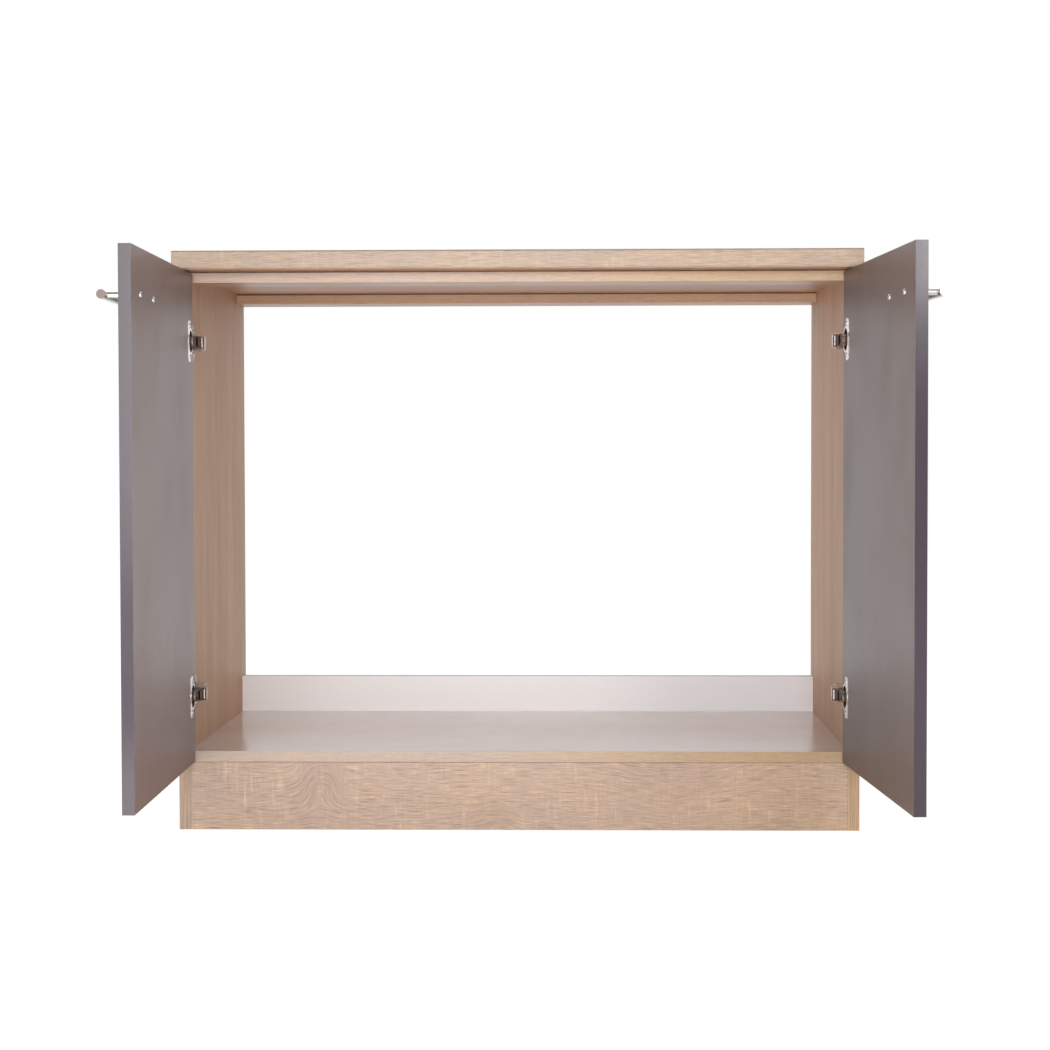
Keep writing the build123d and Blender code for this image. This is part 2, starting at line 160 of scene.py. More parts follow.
def ramp(tree, value, low, high):
    """A value stretched so that low gives 0 and high gives 1, with soft ends."""
    inputs = {"Value": value, "From Min": low, "From Max": high}
    node = add_node(tree, "ShaderNodeMapRange", inputs, interpolation_type="SMOOTHSTEP")
    return node.outputs["Result"]


def noise(tree, vector, scale, detail=2.0, roughness=0.5, distortion=0.0):
    """The value of a noise texture."""
    inputs = {
        "Vector": vector,
        "Scale": scale,
        "Detail": detail,
        "Roughness": roughness,
        "Distortion": distortion,
    }
    return add_node(tree, "ShaderNodeTexNoise", inputs).outputs[0]


def vector_of(tree, x, y, z):
    """A vector from three values."""
    return add_node(tree, "ShaderNodeCombineXYZ", {0: x, 1: y, 2: z}).outputs[0]


def axes_of(tree, vector):
    """The three values of a vector, by the names of their axes."""
    split = add_node(tree, "ShaderNodeSeparateXYZ", {0: vector})
    return dict(zip("XYZ", split.outputs))


def around(tree, value, middle, amount):
    """How far a value lies from its middle, times an amount."""
    return maths(tree, "MULTIPLY", maths(tree, "SUBTRACT", value, middle), amount)


def stretched(tree, along, share, across, depth):
    """A place whose first axis is drawn out, so that a texture there makes streaks."""
    return vector_of(tree, maths(tree, "MULTIPLY", along, share), across, depth)


def shade_by(tree, colour, amount):
    """A colour made lighter or darker by a value around one."""
    return blend(tree, 1.0, colour, vector_of(tree, amount, amount, amount), "MULTIPLY")


def new_group(name, inputs, outputs):
    """An empty node group with its sockets; returns (group, inputs, output node)."""
    group = bpy.data.node_groups.new(name, "ShaderNodeTree")
    for label, kind, value in inputs:
        socket = group.interface.new_socket(label, in_out="INPUT", socket_type=kind)
        if value is not None:
            socket.default_value = value
    for label, kind in outputs:
        group.interface.new_socket(label, in_out="OUTPUT", socket_type=kind)
    return group, group.nodes.new("NodeGroupInput").outputs, group.nodes.new("NodeGroupOutput")


def place_group(tree, group, inputs):
    """A placed copy of a node group, with its inputs set or linked; returns its outputs."""
    node = tree.nodes.new("ShaderNodeGroup")
    node.node_tree = group
    for key, value in inputs.items():
        feed(tree, node.inputs[key], value)
    return node.outputs


# ---------------------------------------------------------------- shared effects
# The textures of the oak print, each with its share of the length along its lines (a small share
# draws the lines out), its scale in waves per metre, detail, roughness and distortion.
oak_textures = {
    "sway": (0.30, 11.0, 2.0, 0.5, 0.0),
    "bands": (0.10, 130.0, 3.0, 0.55, 0.0),
    "patches": (0.35, 13.0, 2.0, 0.5, 0.0),
    "streaks": (0.060, 430.0, 2.0, 0.6, 0.3),
    "fine": (0.055, 800.0, 2.0, 0.6, 0.0),
    "fibres": (0.16, 240.0, 2.0, 0.6, 0.0),
    "pores": (0.075, 480.0, 1.0, 0.5, 0.0),
    "pore zones": (0.4, 40.0, 1.0, 0.5, 0.0),
    "saw lines": (0.11, 170.0, 2.0, 0.55, 0.2),
    "saw zones": (0.8, 15.0, 2.0, 0.5, 0.0),
}
# Where an effect starts and is full, on the 0 to 1 of its texture.
pore_zone_range = (0.35, 0.7)
pore_range = (0.60, 0.70)
saw_line_range = (0.50, 0.72)
saw_zone_range = (0.48, 0.64)
warm_range = (0.36, 0.64)
middle_noise = 0.5
middle_streaks = 1.15  # of the coarse and fine streaks together
fine_weight = 1.5
coarse_weight = 0.8
fibre_weight = 1.6  # how far the fibres break the streaks up
fibre_floor = 0.2
wander_swing = 4.0
warm_tint = (1.02, 1.0, 0.95, 1)
cool_tint = (0.98, 0.98, 1.02, 1)


def oak_print_group():
    """Light sawn oak as it is printed on boards: bands, broken streaks, pores and saw marks.

    Along runs with the grain and Across over it, both in metres; Depth picks the slice.
    """
    tree, given, result = new_group(
        "oak_print",
        [
            ("Along", FLOAT, 0.0),
            ("Across", FLOAT, 0.0),
            ("Grain", FLOAT, 0.0),
            ("Depth", FLOAT, 0.0),
            ("Base", COLOUR, (0.5, 0.34, 0.22, 1)),
            ("Bands", FLOAT, 0.2),
            ("Streaks", FLOAT, 0.8),
            ("Pores", FLOAT, 0.25),
            ("Cross fibres", FLOAT, 0.2),
            ("Saw marks", FLOAT, 0.2),
            ("Wander", FLOAT, 0.004),
            ("Saw zone", FLOAT, 0.0),
        ],
        [("Color", COLOUR), ("Height", FLOAT), ("Gloss loss", FLOAT)],
    )
    along, across, depth = given["Along"], given["Across"], given["Depth"]

    def texture(name, first, second):
        share, *look = oak_textures[name]
        return noise(tree, stretched(tree, first, share, second, depth), *look)

    # The grain lines wander a few millimetres to and fro along the board.
    slow = around(tree, texture("sway", along, across), middle_noise, wander_swing)
    grain = maths(tree, "ADD", given["Grain"], maths(tree, "MULTIPLY", slow, given["Wander"]))

    # Bands and patches of tone, with coarse and fine streaks that fibres across the grain break up.
    bands = texture("bands", along, grain)
    patches = texture("patches", along, grain)
    streaks = texture("streaks", along, grain)
    fine = texture("fine", along, grain)
    fibres = texture("fibres", across, along)

    shade = maths(tree, "ADD", 1.0, around(tree, bands, middle_noise, given["Bands"]))
    shade = maths(tree, "ADD", shade, around(tree, patches, middle_noise, given["Bands"]))
    broken = maths(tree, "MULTIPLY_ADD", fibres, fibre_weight, fibre_floor)
    coarse = maths(tree, "MULTIPLY", streaks, coarse_weight)
    both = maths(tree, "MULTIPLY_ADD", fine, fine_weight, coarse)
    lines = around(tree, both, middle_streaks, given["Streaks"])
    shade = maths(tree, "MULTIPLY_ADD", lines, broken, shade)
    shade = maths(tree, "ADD", shade, around(tree, fibres, middle_noise, given["Cross fibres"]))

    # Short dark pores that lie in the grain.
    pore_zone = ramp(tree, texture("pore zones", along, grain), *pore_zone_range)
    pores = ramp(tree, texture("pores", along, grain), *pore_range)
    pores = maths(tree, "MULTIPLY", pores, pore_zone)
    shade = maths(tree, "SUBTRACT", shade, maths(tree, "MULTIPLY", pores, given["Pores"]))

    # Pale saw marks across the grain, in loose groups and in the board's own saw zones.
    saw_lines = ramp(tree, texture("saw lines", across, along), *saw_line_range)
    saw_zone = ramp(tree, texture("saw zones", across, along), *saw_zone_range)
    saw = maths(tree, "MULTIPLY", saw_lines, maths(tree, "ADD", saw_zone, given["Saw zone"]))
    shade = maths(tree, "ADD", shade, maths(tree, "MULTIPLY", saw, given["Saw marks"]))

    # The dark bands lean to a greyish pink and the light ones to yellow.
    mean = maths(tree, "MULTIPLY", maths(tree, "ADD", bands, patches), 0.5)
    warm = blend(tree, 1.0, given["Base"], warm_tint, "MULTIPLY")
    cool = blend(tree, 1.0, given["Base"], cool_tint, "MULTIPLY")
    toned = blend(tree, ramp(tree, mean, *warm_range), cool, warm)
    tree.links.new(shade_by(tree, toned, shade), result.inputs["Color"])
    height = maths(tree, "SUBTRACT", maths(tree, "MULTIPLY", fine, 0.35), pores)
    tree.links.new(height, result.inputs["Height"])
    loss = maths(tree, "ADD", maths(tree, "MULTIPLY", fine, 0.5), pores)
    tree.links.new(loss, result.inputs["Gloss loss"])
    return tree


def grain_swirl_group():
    """Bends the grain round a place on the board, as it runs round a knot."""
    tree, given, result = new_group(
        "grain_swirl",
        [
            ("Along", FLOAT, 0.0),
            ("Across", FLOAT, 0.0),
            ("Middle along", FLOAT, 0.0),
            ("Middle across", FLOAT, 0.0),
            ("Reach along", FLOAT, 0.05),
            ("Reach across", FLOAT, 0.03),
            ("Push", FLOAT, 0.02),
        ],
        [("Across", FLOAT), ("Closeness", FLOAT)],
    )

    def offset_share(place, middle, reach):
        offset = maths(tree, "SUBTRACT", given[place], given[middle])
        return maths(tree, "DIVIDE", offset, given[reach])

    u = offset_share("Along", "Middle along", "Reach along")
    v = offset_share("Across", "Middle across", "Reach across")
    square = maths(tree, "ADD", maths(tree, "MULTIPLY", u, u), maths(tree, "MULTIPLY", v, v))
    close = maths(tree, "DIVIDE", 1.0, maths(tree, "MULTIPLY_ADD", square, square, 1.0))
    pushed = maths(tree, "ADD", given["Across"], maths(tree, "MULTIPLY", close, given["Push"]))
    tree.links.new(pushed, result.inputs["Across"])
    tree.links.new(close, result.inputs["Closeness"])
    return tree


cloud_scale = 5.0
speck_scale = 2400.0
speck_range = (0.62, 0.8)
wear_range = (0.35, 0.75)


def pressed_texture_group():
    """The faint press of a melamine or foil face, with soft clouds of tone."""
    tree, given, result = new_group(
        "pressed_texture",
        [
            ("Place", VECTOR, None),
            ("Color", COLOUR, (0.5, 0.5, 0.5, 1)),
            ("Mottle", FLOAT, 0.04),
            ("Grain size", FLOAT, 900.0),
        ],
        [("Color", COLOUR), ("Height", FLOAT), ("Wear", FLOAT)],
    )
    place = given["Place"]
    fine = noise(tree, place, given["Grain size"])
    cloud = noise(tree, place, cloud_scale, detail=3.0, roughness=0.55)
    speck = ramp(tree, noise(tree, place, speck_scale, detail=1.0), *speck_range)
    shade = maths(tree, "ADD", around(tree, cloud, middle_noise, given["Mottle"]), 1.0)
    shade = maths(tree, "SUBTRACT", shade, maths(tree, "MULTIPLY", speck, given["Mottle"]))
    tree.links.new(shade_by(tree, given["Color"], shade), result.inputs["Color"])
    tree.links.new(fine, result.inputs["Height"])
    tree.links.new(ramp(tree, cloud, *wear_range), result.inputs["Wear"])
    return tree


flake_scale = 420.0
dust_scale = 1500.0
flake_tones = [(0.44, 0.29, 0.16, 1), (0.66, 0.49, 0.31, 1)]
dark_flake = (0.22, 0.13, 0.07, 1)
dark_range = (0.82, 0.95)
dark_share = 0.6
dust_weight = 0.5
dust_floor = 0.75


def chipboard_group():
    """The cut edge of chipboard: flakes of several tones, coarser in the core."""
    tree, given, result = new_group(
        "chipboard_edge",
        [("Place", VECTOR, None)],
        [("Color", COLOUR), ("Height", FLOAT)],
    )
    inputs = {"Vector": given["Place"], "Scale": flake_scale, "Randomness": 1.0}
    cells = add_node(tree, "ShaderNodeTexVoronoi", inputs)
    tone = add_node(tree, "ShaderNodeSeparateColor", {0: cells.outputs["Color"]}).outputs[0]
    dust = noise(tree, given["Place"], dust_scale, detail=3.0, roughness=0.6)
    dark = maths(tree, "MULTIPLY", ramp(tree, tone, *dark_range), dark_share)
    flakes = blend(tree, dark, blend(tree, tone, *flake_tones), dark_flake)
    shade = maths(tree, "MULTIPLY_ADD", dust, dust_weight, dust_floor)
    tree.links.new(shade_by(tree, flakes, shade), result.inputs["Color"])
    tree.links.new(maths(tree, "ADD", cells.outputs["Distance"], dust), result.inputs["Height"])
    return tree


brush_scale = 2600.0
brush_share = 0.02  # of the length along the lines
stain_scale = 60.0


def brushed_group():
    """Fine brushed lines on metal; the first axis of Place runs along the lines."""
    tree, given, result = new_group(
        "brushed_lines",
        [("Place", VECTOR, None), ("Color", COLOUR, (0.6, 0.6, 0.6, 1)), ("Depth", FLOAT, 0.1)],
        [("Color", COLOUR), ("Height", FLOAT), ("Roughness change", FLOAT)],
    )
    inputs = {"Vector": given["Place"], "Scale": (brush_share, 1, 1)}
    drawn = add_node(tree, "ShaderNodeMapping", inputs).outputs[0]
    lines = noise(tree, drawn, brush_scale, detail=3.0, roughness=0.7)
    stains = noise(tree, given["Place"], stain_scale)
    shade = maths(tree, "ADD", around(tree, lines, middle_noise, given["Depth"]), 1.0)
    tree.links.new(shade_by(tree, given["Color"], shade), result.inputs["Color"])
    tree.links.new(lines, result.inputs["Height"])
    mean = maths(tree, "MULTIPLY", maths(tree, "ADD", lines, stains), 0.5)
    tree.links.new(mean, result.inputs["Roughness change"])
    return tree


oak_print = oak_print_group()
grain_swirl = grain_swirl_group()
pressed_texture = pressed_texture_group()
chipboard_edge = chipboard_group()
brushed_lines = brushed_group()


# ---------------------------------------------------------------- materials
oak_press = (0.25, 0.0004)  # strength and distance of the bump
plain_press_distance = 0.0002
brushed_press = (0.12, 0.0001)
door_press = 0.06
cut_edge_roughness = 0.85
turned_end_roughness = 0.42
sunk_roughness = 0.45
door_roughness = 0.36
door_edge_change = -0.20  # the edge strip is glossier than the faces
# How much rougher the grain, the wear and the brushed lines make a surface.
grain_change = 0.10
wear_change = 0.06
door_wear_change = 0.05
brush_change = 0.16
line_core = 0.4  # of a dark line's half width, which is darkest
knot_tone = (0.34, 0.22, 0.17, 1)
knot_share = 0.18
end_reflection_fade = (0.0007, 0.0002)  # how far from a bar's end its painted reflection starts and is full
sunk_shade_fade = 0.0004  # of the painted shade in a cup, above and below the face of a door
edge_fade = (0.0012, 0.0004)  # how far inside a door's face or edge its tone starts and is full
low_light_fade = (0.42, 0.16)  # the heights where the painted light on a door's lower end starts and is full
quarter_turn = pi / 2


def srgb(red, green, blue):
    """A colour given in 0 to 255 as a display shows it, as linear values."""
    linear = []
    for value in (red, green, blue):
        part = value / 255
        linear.append(part / 12.92 if part <= 0.04045 else ((part + 0.055) / 1.055) ** 2.4)
    return (*linear, 1.0)


def new_material(name):
    """An empty material with its shader; returns (material, tree, shader)."""
    material = bpy.data.materials.new(name)
    material.use_nodes = True
    tree = material.node_tree
    return material, tree, tree.nodes["Principled BSDF"]


def finish_shader(tree, shader, colour, height, rough, strength, distance):
    """Feed a finished colour, height and roughness into the shader."""
    tree.links.new(colour, shader.inputs["Base Color"])
    tree.links.new(rough, shader.inputs["Roughness"])
    inputs = {"Height": height, "Strength": strength, "Distance": distance}
    node = add_node(tree, "ShaderNodeBump", inputs)
    tree.links.new(node.outputs[0], shader.inputs["Normal"])


def own_place(tree):
    """Coordinates that stay with the piece, in metres."""
    return add_node(tree, "ShaderNodeTexCoord").outputs["Object"]


def show_cut_edges(tree, place, axes, cuts, colour, height, rough):
    """Chipboard where a board's cut edge lies: past each (axis, limit, side) plane."""
    if not cuts:
        return colour, height, rough
    mask = 0.0
    for axis, limit, side in cuts:
        operation = "GREATER_THAN" if side > 0 else "LESS_THAN"
        mask = maths(tree, "MAXIMUM", mask, maths(tree, operation, axes[axis], limit))
    core = place_group(tree, chipboard_edge, {"Place": place})
    return (
        blend(tree, mask, colour, core["Color"]),
        maths(tree, "ADD", height, maths(tree, "MULTIPLY", core["Height"], mask)),
        maths(tree, "MAXIMUM", rough, maths(tree, "MULTIPLY", mask, cut_edge_roughness)),
    )


def drifted(tree, axes, colour, drift):
    """A colour that turns into another along the board: (axis, start, end, other tone)."""
    if not drift:
        return colour
    axis, start, end, other = drift
    return blend(tree, ramp(tree, axes[axis], start, end), colour, other)


def darken_lines(tree, axes, colour, dark_lines):
    """Darker along lines: (axis, place, half width, loss) for each; along the joints of the plinth
    and rails this is painted shade.
    """
    if not dark_lines:
        return colour
    shade = 1.0
    for axis, place, half_width, loss in dark_lines:
        off = maths(tree, "ABSOLUTE", maths(tree, "SUBTRACT", axes[axis], place))
        near = ramp(tree, off, half_width, line_core * half_width)
        shade = maths(tree, "MULTIPLY", shade, maths(tree, "MULTIPLY_ADD", near, -loss, 1.0))
    return shade_by(tree, colour, shade)


def oak_material(name, along_axis, across_axis, base, grain, roughness, cuts=(), shift=0.0,
                 drift=None, dark_lines=(), swirls=(), saw_places=(), draw=1.0):
    """A board with the oak print along one axis, and chipboard on its cut edges.

    shift picks another stretch of the print, and a draw under one gives longer streaks.
    """
    material, tree, shader = new_material(name)
    place = own_place(tree)
    axes = axes_of(tree, place)
    depth_axis = (set("XYZ") - {along_axis, across_axis}).pop()

    def near_place(line, middle, reach, push=0.0):
        return place_group(tree, grain_swirl, {
            "Along": axes[along_axis],
            "Across": line,
            "Middle along": middle[0],
            "Middle across": middle[1],
            "Reach along": reach[0],
            "Reach across": reach[1],
            "Push": push,
        })

    grain_line = axes[across_axis]
    closeness = 0.0
    for middle, reach, push in swirls:
        bent = near_place(grain_line, middle, reach, push)
        grain_line = bent["Across"]
        closeness = maths(tree, "MAXIMUM", closeness, bent["Closeness"])
    saw_zone = 0.0
    for middle, reach in saw_places:
        near = near_place(axes[across_axis], middle, reach)
        saw_zone = maths(tree, "MAXIMUM", saw_zone, near["Closeness"])
    bands, streaks, pores, fibres, saw_marks, wander = grain
    oak = place_group(tree, oak_print, {
        "Along": maths(tree, "MULTIPLY_ADD", axes[along_axis], draw, shift),
        "Across": axes[across_axis],
        "Grain": grain_line,
        "Depth": axes[depth_axis],
        "Base": drifted(tree, axes, base, drift),
        "Bands": bands,
        "Streaks": streaks,
        "Pores": pores,
        "Cross fibres": fibres,
        "Saw marks": saw_marks,
        "Wander": wander,
        "Saw zone": saw_zone,
    })
    colour = oak["Color"]
    if swirls:
        colour = blend(tree, maths(tree, "MULTIPLY", closeness, knot_share), colour, knot_tone)
    colour = darken_lines(tree, axes, colour, dark_lines)
    rough_map = maths(tree, "MULTIPLY_ADD", oak["Gloss loss"], grain_change, roughness)
    shown = show_cut_edges(tree, place, axes, cuts, colour, oak["Height"], rough_map)
    finish_shader(tree, shader, *shown, *oak_press)
    return material


def plain_material(name, colour, roughness, mottle, press, grain_size=1100.0, cuts=(), dark_lines=(),
                   drift=None):
    """A plain pressed face, such as melamine or foil, and chipboard on its cut edges."""
    material, tree, shader = new_material(name)
    place = own_place(tree)
    axes = axes_of(tree, place)
    face = place_group(tree, pressed_texture, {
        "Place": place,
        "Color": drifted(tree, axes, colour, drift),
        "Mottle": mottle,
        "Grain size": grain_size,
    })
    face_colour = darken_lines(tree, axes, face["Color"], dark_lines)
    rough = maths(tree, "MULTIPLY_ADD", face["Wear"], wear_change, roughness)
    shown = show_cut_edges(tree, place, axes, cuts, face_colour, face["Height"], rough)
    finish_shader(tree, shader, *shown, press, plain_press_distance)
    return material


def reach_along(tree, place, origin, direction):
    """How far a place lies from an origin along a direction."""
    inputs = {0: place, 1: origin}
    offset = add_node(tree, "ShaderNodeVectorMath", inputs, operation="SUBTRACT").outputs[0]
    inputs = {0: offset, 1: direction}
    return add_node(tree, "ShaderNodeVectorMath", inputs, operation="DOT_PRODUCT").outputs["Value"]


def metal_material(name, colour, roughness, depth, turned=True, end_reflections=None, shaded_cup_side=0):
    """Metal with brushed lines along its first axis, or along its second when turned.

    The ends of a bar along a door, given as (side, low, high, colour), are turned and rougher, and
    that colour on them is a painted reflection: dark on the left bar, a bright highlight on the
    right.
    When a door's side is given, its cup gets painted shade inside, below the face of the door, and is
    rougher there.
    """
    material, tree, shader = new_material(name)
    place = own_place(tree)
    inputs = {"Vector": place, "Rotation": (0, 0, quarter_turn if turned else 0)}
    drawn = add_node(tree, "ShaderNodeMapping", inputs).outputs[0]
    inputs = {"Place": drawn, "Color": colour, "Depth": depth}
    lines = place_group(tree, brushed_lines, inputs)
    shown = lines["Color"]
    rough = maths(tree, "MULTIPLY_ADD", lines["Roughness change"], brush_change, roughness)
    if end_reflections:
        side, low, high, end_reflection_colour = end_reflections
        along = reach_along(tree, place, hinge_line(side), door_axes(side)[0])
        middle, half = (low + high) / 2, (high - low) / 2
        off = maths(tree, "ABSOLUTE", maths(tree, "SUBTRACT", along, middle))
        bar_end_mask = ramp(tree, off, *(half - inside for inside in end_reflection_fade))
        # Painted reflection on the bar's ends: dark on the left bar, a bright highlight on the right.
        shown = blend(tree, bar_end_mask, shown, end_reflection_colour)
        end_rough = maths(tree, "MULTIPLY", bar_end_mask, turned_end_roughness)
        rough = maths(tree, "MAXIMUM", rough, end_rough)
    if shaded_cup_side:
        height = reach_along(tree, place, hinge_line(shaded_cup_side), door_axes(shaded_cup_side)[1])
        sunk_shade = ramp(tree, height, inner_face + sunk_shade_fade, inner_face - sunk_shade_fade)
        # Painted shade inside the cup, below the face of the door.
        shown = blend(tree, sunk_shade, shown, sunk_shade_tone)
        rough = maths(tree, "MAXIMUM", rough, maths(tree, "MULTIPLY", sunk_shade, sunk_roughness))
    finish_shader(tree, shader, shown, lines["Height"], rough, *brushed_press)
    shader.inputs["Metallic"].default_value = 1.0
    return material


def door_material(name, side, face_colour, low_light_colour):
    """Grey foil on the faces and a glossier strip of the same grey round the edges.

    The tone given for the lower end is painted light from below: the inner face turns lighter towards
    its lower end.
    """
    material, tree, shader = new_material(name)
    place = own_place(tree)
    along, inward = door_axes(side)

    def past(direction, limit):
        reach = reach_along(tree, place, hinge_line(side), direction)
        return ramp(tree, reach, *(limit - inside for inside in edge_fade))

    inner, band = past(inward, inner_face), past(along, free_edge)
    # Painted light from below: the inner face turns lighter towards its lower end.
    low = ramp(tree, axes_of(tree, place)["Z"], *low_light_fade)
    faces = blend(tree, inner, door_outside_tone, blend(tree, low, face_colour, low_light_colour))
    face = place_group(tree, pressed_texture, {
        "Place": place,
        "Color": blend(tree, band, faces, door_edge_tone),
        "Mottle": 0.05,
        "Grain size": 900.0,
    })
    base_rough = maths(tree, "MULTIPLY_ADD", band, door_edge_change, door_roughness)
    rough = maths(tree, "MULTIPLY_ADD", face["Wear"], door_wear_change, base_rough)
    press = (door_press, plain_press_distance)
    finish_shader(tree, shader, face["Color"], face["Height"], rough, *press)
    return material


# The tones of the pieces. A strip is the edging on a board's front edge.
worktop_tone = srgb(179, 155, 135)
under_tone = srgb(176, 124, 84)  # the worktop's underside
# The front rail's edging: paler on its left by a painted sheen, which fades into the yellow tone
# towards the right.
front_strip_sheen_tone = srgb(189, 162, 141)
rear_strip_tone = srgb(214, 178, 146)
# The other edging strips: this tone carries a painted sheen on their left and middle; the yellow one
# below is their own colour.
strip_sheen_tone = srgb(200, 178, 161)
strip_yellow_tone = srgb(190, 159, 124)
# The plinth: this tone carries a painted sheen on its left and middle; the yellow one below is its
# own colour.
plinth_sheen_tone = srgb(199, 172, 152)
oak_yellow_tone = srgb(196, 166, 141)
side_tone = srgb(195, 156, 123)
# The side panels' front edging: the left one is paler and less yellow by a painted sheen.
side_strip_sheen_tones = {"left": srgb(194, 165, 142), "right": srgb(205, 168, 131)}
greige_tone = srgb(200, 183, 175)
# A painted reflection of the rear board on the bottom panel, paler towards the rear.
greige_reflection_tone = srgb(216, 206, 203)
rail_tone = srgb(172, 132, 102)
white_tone = srgb(255, 254, 255)
# Painted shade: the rear board turns greyer towards the right.
white_right_shade_tone = srgb(246, 247, 252)
# The doors' inner faces: the right one is painted darker as shade, and both are painted lighter at
# their lower ends as light from below.
door_face_shade_tones = {"left": srgb(101, 74, 69), "right": srgb(84, 60, 56)}
door_low_light_tones = {"left": srgb(115, 92, 89), "right": srgb(95, 79, 77)}
door_outside_tone = srgb(72, 69, 71)
door_edge_tone = srgb(67, 57, 65)
beech_tone = srgb(206, 170, 128)
handle_tone = srgb(200, 196, 190)
# Painted reflections on the bars' ends: dark on the left, a bright highlight on the right.
handle_end_reflection_tones = {"left": srgb(112, 98, 92), "right": srgb(250, 248, 246)}
handle_ends = (0.308, 0.444)  # along the door, from its swing axis
cup_tone = srgb(226, 220, 218)
sunk_shade_tone = srgb(120, 98, 88)  # painted shade inside a cup, below the face of the door
nickel_tone = srgb(176, 154, 142)
link_tone = srgb(112, 94, 84)
zinc_tone = srgb(196, 196, 192)

# Cut edges are (axis, limit, side), and dark lines are (axis, place, half width, loss).
rear_cut = ("Y", 0.5597, 1)
floor_cut = ("Z", 0.0003, -1)
# Painted shade in the joints of the plinth: under the bottom edging and beside the side panels.
plinth_shade_lines = [
    ("Z", plinth_top, 0.0012, 0.45),
    ("X", -inner_half, 0.0030, 0.16),
    ("X", inner_half, 0.0030, 0.16),
]
# Painted shade in the gap between the worktop and the top of the rails.
rail_shade_lines = [("Z", rail_top, 0.0024, 0.85)]
# Darker along the worktop's top front edge and along the rear board's top edge.
worktop_edge_lines = [("Z", worktop_top, 0.0040, 0.24)]
back_edge_lines = [("Z", back_top, 0.0010, 0.50)]

# How strong each effect of the oak print is: bands, streaks, pores, cross fibres, saw marks, wander.
facing = (0.16, 0.62, 0.18, 0.16, 0.12, 0.0015)
calm = (0.10, 0.36, 0.08, 0.10, 0.02, 0.001)
figured = (0.16, 0.78, 0.24, 0.20, 0.20, 0.002)
upright = (0.42, 0.70, 0.16, 0.05, 0.03, 0.003)
# The knots of the plinth as (middle, reach, push), and its sawn places as (middle, reach).
plinth_swirls = [
    ((-0.291, 0.086), (0.027, 0.046), -0.038),
    ((-0.262, 0.068), (0.010, 0.016), 0.010),
    ((-0.030, 0.018), (0.030, 0.018), -0.009),
    ((0.230, 0.085), (0.085, 0.050), 0.014),
]
plinth_saw_places = [((-0.368, 0.056), (0.040, 0.034)), ((-0.294, 0.066), (0.012, 0.030))]
# The changes of tone, each as (axis, start, end, other tone).
worktop_drift = ("Z", rail_top + 0.0006, rail_top + 0.0001, under_tone)
# Painted sheen: the edging strips turn from the paler sheen tone into their own yellow towards the
# right.
strip_sheen_fade = ("X", -0.12, 0.34, strip_yellow_tone)
# Painted sheen: the plinth turns from the paler sheen tone into its own yellow towards the right.
plinth_sheen_fade = ("X", 0.0, 0.45, oak_yellow_tone)
# Painted reflection: the bottom panel turns paler towards the rear board.
greige_reflection_fade = ("Y", 0.26, 0.54, greige_reflection_tone)
# Painted shade: the rear board darkens towards the right.
white_shade_fade = ("X", 0.0, 0.44, white_right_shade_tone)
side_drifts = {name: ("Y", 0.0030, 0.0008, tone) for name, tone in side_strip_sheen_tones.items()}
side_shifts = {"left": 0.2, "right": 1.4}

finishes = {
    "worktop": oak_material(
        "oak_worktop", "X", "Z", worktop_tone, facing, roughness=0.40, cuts=[rear_cut],
        drift=worktop_drift, dark_lines=worktop_edge_lines,
    ),
    "edging": oak_material(
        "oak_edging", "X", "Z", strip_sheen_tone, calm, roughness=0.26, shift=0.37, drift=strip_sheen_fade,
    ),
    "front_edging": oak_material(
        "oak_front_edging", "X", "Z", front_strip_sheen_tone, calm, roughness=0.30, shift=0.6,
        drift=strip_sheen_fade, dark_lines=rail_shade_lines,
    ),
    "rear_edging": oak_material(
        "oak_rear_edging", "X", "Z", rear_strip_tone, calm, roughness=0.36, shift=1.1,
        dark_lines=rail_shade_lines,
    ),
    "plinth": oak_material(
        "oak_plinth", "X", "Z", plinth_sheen_tone, figured, roughness=0.45, cuts=[floor_cut], shift=0.8,
        drift=plinth_sheen_fade, dark_lines=plinth_shade_lines, swirls=plinth_swirls, saw_places=plinth_saw_places,
    ),
    "greige": plain_material(
        "greige_melamine", greige_tone, roughness=0.17, mottle=0.05, press=0.04, cuts=[rear_cut],
        drift=greige_reflection_fade,
    ),
    "rail": plain_material(
        "rail_melamine", rail_tone, roughness=0.36, mottle=0.06, press=0.04, cuts=[rear_cut],
        dark_lines=rail_shade_lines,
    ),
    "white": plain_material(
        "white_melamine", white_tone, roughness=0.30, mottle=0.04, press=0.08, dark_lines=back_edge_lines,
        drift=white_shade_fade,
    ),
    "dowel": plain_material(
        "beech_dowel", beech_tone, roughness=0.6, mottle=0.12, press=0.2, grain_size=500.0,
    ),
    "plated": metal_material("nickel_plate", nickel_tone, roughness=0.30, depth=0.16),
    "link": metal_material("steel_link", link_tone, roughness=0.38, depth=0.2),
    "zinc": metal_material("zinc_screw", zinc_tone, roughness=0.22, depth=0.12, turned=False),
}
for side_name, side_sign in sides.items():
    finishes[f"{side_name}_side"] = oak_material(
        f"oak_{side_name}_side", "Z", "Y", side_tone, upright, roughness=0.50,
        cuts=[rear_cut, floor_cut], shift=side_shifts[side_name], drift=side_drifts[side_name],
        draw=0.22,
    )
    finishes[f"{side_name}_door"] = door_material(
        f"grey_foil_{side_name}", side_sign, door_face_shade_tones[side_name], door_low_light_tones[side_name],
    )
    finishes[f"{side_name}_handle"] = metal_material(
        f"brushed_nickel_{side_name}", handle_tone, roughness=0.20, depth=0.25,
        end_reflections=(side_sign, *handle_ends, handle_end_reflection_tones[side_name]),
    )
    finishes[f"{side_name}_cup"] = metal_material(
        f"cup_plate_{side_name}", cup_tone, roughness=0.24, depth=0.10, shaded_cup_side=side_sign,
    )

